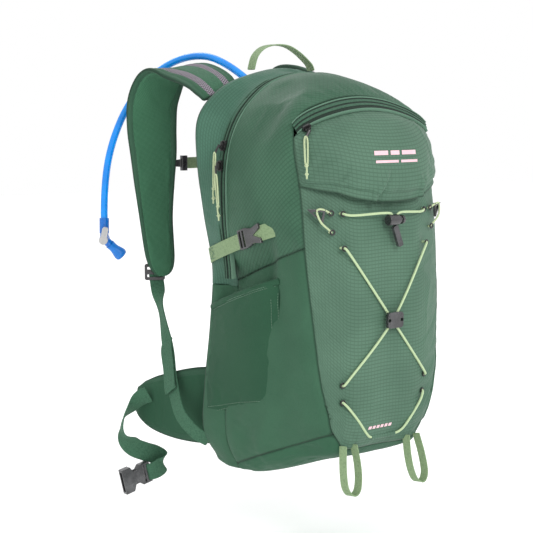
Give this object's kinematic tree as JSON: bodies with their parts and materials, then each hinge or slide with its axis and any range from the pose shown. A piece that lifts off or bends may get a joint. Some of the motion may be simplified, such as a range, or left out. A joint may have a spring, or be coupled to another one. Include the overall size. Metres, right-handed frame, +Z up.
{
  "type": "hydration pack",
  "caption": "Day pack with a panel zipper, stretch side pockets, laced elastic front, padded harness, hip belt and an over-shoulder drinking hose.",
  "frame": {"origin": "crown of the haul loop, where a hook or peg carries the pack", "axes": "+Z up, +Y from the bag towards the wearer, +X to the right seen from the front"},
  "size_m": [0.3436, 0.4223, 0.5865],
  "materials": {
    "ripstop": "ripstop coated nylon",
    "side_cloth": "plain coated nylon",
    "dark_cloth": "heavier plain cloth",
    "stretch_cloth": "smooth stretch cloth",
    "foam_mesh": "spacer mesh over foam",
    "strap_pad": "spacer mesh over foam with bound edges",
    "green_webbing": "woven nylon webbing",
    "sage_webbing": "woven nylon webbing",
    "elastic_cord": "braided cover",
    "hardware": "moulded acetal, fine texture",
    "button_grey": "moulded acetal",
    "zip_dark": "coated zipper tape",
    "zip_metal": "black painted zinc",
    "hose_blue": "clear blue flexible tube",
    "valve_blue": "moulded blue",
    "mouth_silicone": "soft silicone",
    "lever_grey": "moulded grey",
    "bladder": "clear film",
    "frame_plastic": "sheet polyethylene"
  },
  "bodies": {
    "root": {"back_panel": "foam_mesh", "back_pods": "foam_mesh", "bottom_panel": "dark_cloth", "bungee": "elastic_cord", "bungee_clip": "hardware", "bungee_top": "elastic_cord", "compression_loops": "sage_webbing", "compression_strap_left": "sage_webbing", "compression_strap_right": "sage_webbing", "cord_lock": "zip_metal", "eyelets": "elastic_cord", "frame_sheet": "frame_plastic", "front_panel": "ripstop", "front_pocket": "ripstop", "haul_loop": "sage_webbing", "hood_panel": "ripstop", "hose": "hose_blue", "hose_inner": "hose_blue", "hose_port": "hardware", "ladder_locks": "hardware", "mouthpiece": "mouth_silicone", "rear_gusset": "ripstop", "reservoir": "bladder", "reservoir_cap": "valve_blue", "shoulder_strap_left": "strap_pad", "shoulder_strap_right": "strap_pad", "side_panel_left": "side_cloth", "side_panel_right": "side_cloth", "side_pocket_left": "stretch_cloth", "side_pocket_right": "stretch_cloth", "strap_webbing_left": "green_webbing", "strap_webbing_right": "green_webbing", "tool_hooks": "hardware", "valve_body": "valve_blue", "zip_tape": "zip_dark", "zip_teeth": "zip_dark"},
    "zip_slider_upper": {"zip_slider_upper": "zip_metal"},
    "pull_upper": {"pull_upper": "elastic_cord"},
    "zip_slider_lower": {"zip_slider_lower": "zip_metal"},
    "pull_lower": {"pull_lower": "elastic_cord"},
    "pocket_slider": {"pocket_slider": "zip_metal"},
    "pocket_pull": {"pocket_pull": "elastic_cord"},
    "compression_buckle_left": {"compression_buckle_left": "hardware"},
    "compression_buckle_right": {"compression_buckle_right": "hardware"},
    "hip_wing_left": {"hip_wing_left": "stretch_cloth", "hip_webbing_left": "green_webbing"},
    "hip_wing_right": {"hip_wing_right": "stretch_cloth", "hip_webbing_right": "green_webbing"},
    "hip_buckle_female": {"hip_buckle_female": "hardware"},
    "hip_buckle_male": {"hip_buckle_male": "hardware"},
    "sternum_strap": {"sternum_webbing": "sage_webbing", "sternum_clips": "hardware", "sternum_buckle_female": "hardware", "sternum_buckle_male": "hardware"},
    "cord_end": {"cord_end": "hardware"},
    "lock_button": {"lock_button": "button_grey"},
    "tool_loop_left": {"tool_loop_left": "sage_webbing"},
    "tool_loop_right": {"tool_loop_right": "sage_webbing"},
    "valve_lever": {"valve_lever": "lever_grey"}
  },
  "joints": [
    {"name": "upper_slider_run", "type": "hinge", "parent": "root", "child": "zip_slider_upper", "pos_m": [0, -0.042, -0.159], "axis": [0, 1, 0], "range_deg": [0, 150]},
    {"name": "upper_pull_swing", "type": "hinge", "parent": "zip_slider_upper", "child": "pull_upper", "pos_m": [-0.12703, -0.042, -0.12385], "axis": [0, 1, 0], "range_deg": [0, 80]},
    {"name": "lower_slider_run", "type": "slide", "parent": "root", "child": "zip_slider_lower", "axis": [-0.0748, 0, -0.9972], "range_m": [0, 0.03]},
    {"name": "lower_pull_swing", "type": "hinge", "parent": "zip_slider_lower", "child": "pull_lower", "pos_m": [-0.13243, -0.042, -0.14904], "axis": [0, 1, 0], "range_deg": [0, 70]},
    {"name": "pocket_slider_run", "type": "hinge", "parent": "root", "child": "pocket_slider", "pos_m": [0, -0.09381, -0.28148], "axis": [0, 0.9313, 0.3641], "range_deg": [0, 50], "deforming": ["pocket_pull"]},
    {"name": "pocket_pull_swing", "type": "hinge", "parent": "pocket_slider", "child": "pocket_pull", "pos_m": [-0.092, -0.17378, -0.10441], "axis": [-1, 0, 0], "range_deg": [0, 90]},
    {"name": "left_strap_release", "type": "slide", "parent": "root", "child": "compression_buckle_left", "axis": [-0.0909, 0.9485, -0.3035], "range_m": [0, 0.012], "deforming": ["compression_strap_left"]},
    {"name": "right_strap_release", "type": "slide", "parent": "root", "child": "compression_buckle_right", "axis": [0.0909, 0.9485, -0.3035], "range_m": [0, 0.012], "deforming": ["compression_strap_right"]},
    {"name": "left_wing_swing", "type": "hinge", "parent": "root", "child": "hip_wing_left", "pos_m": [-0.101, 0.014, -0.458], "axis": [0, 0, -1], "range_deg": [0, 35]},
    {"name": "right_wing_swing", "type": "hinge", "parent": "root", "child": "hip_wing_right", "pos_m": [0.101, 0.014, -0.458], "axis": [0, 0, 1], "range_deg": [0, 35]},
    {"name": "female_buckle_swing", "type": "hinge", "parent": "hip_wing_left", "child": "hip_buckle_female", "pos_m": [-0.132, 0.122, -0.561], "axis": [0.2402, 0, -0.9707], "range_deg": [-35, 35]},
    {"name": "male_buckle_swing", "type": "hinge", "parent": "hip_wing_right", "child": "hip_buckle_male", "pos_m": [0.132, 0.122, -0.561], "axis": [-0.2402, 0, -0.9707], "range_deg": [-35, 35]},
    {"name": "sternum_height", "type": "slide", "parent": "root", "child": "sternum_strap", "axis": [0, 0, 1], "range_m": [-0.02, 0.02]},
    {"name": "cord_end_draw", "type": "slide", "parent": "root", "child": "cord_end", "axis": [0.361, 0, -0.9326], "range_m": [0, 0.012]},
    {"name": "lock_button_press", "type": "slide", "parent": "root", "child": "lock_button", "axis": [-1, 0, 0], "range_m": [0, 0.0028], "stiffness_N_per_m": 300, "springref_m": -0.002},
    {"name": "left_tool_loop_swing", "type": "hinge", "parent": "root", "child": "tool_loop_left", "pos_m": [-0.05, -0.196, -0.479], "axis": [-1, 0, 0], "range_deg": [-8, 70]},
    {"name": "right_tool_loop_swing", "type": "hinge", "parent": "root", "child": "tool_loop_right", "pos_m": [0.05, -0.196, -0.479], "axis": [-1, 0, 0], "range_deg": [-8, 70]},
    {"name": "valve_lever_turn", "type": "hinge", "parent": "root", "child": "valve_lever", "pos_m": [-0.15127, 0.1911, -0.25491], "axis": [-0.6388, -0.7624, -0.103], "range_deg": [0, 90]}
  ]
}
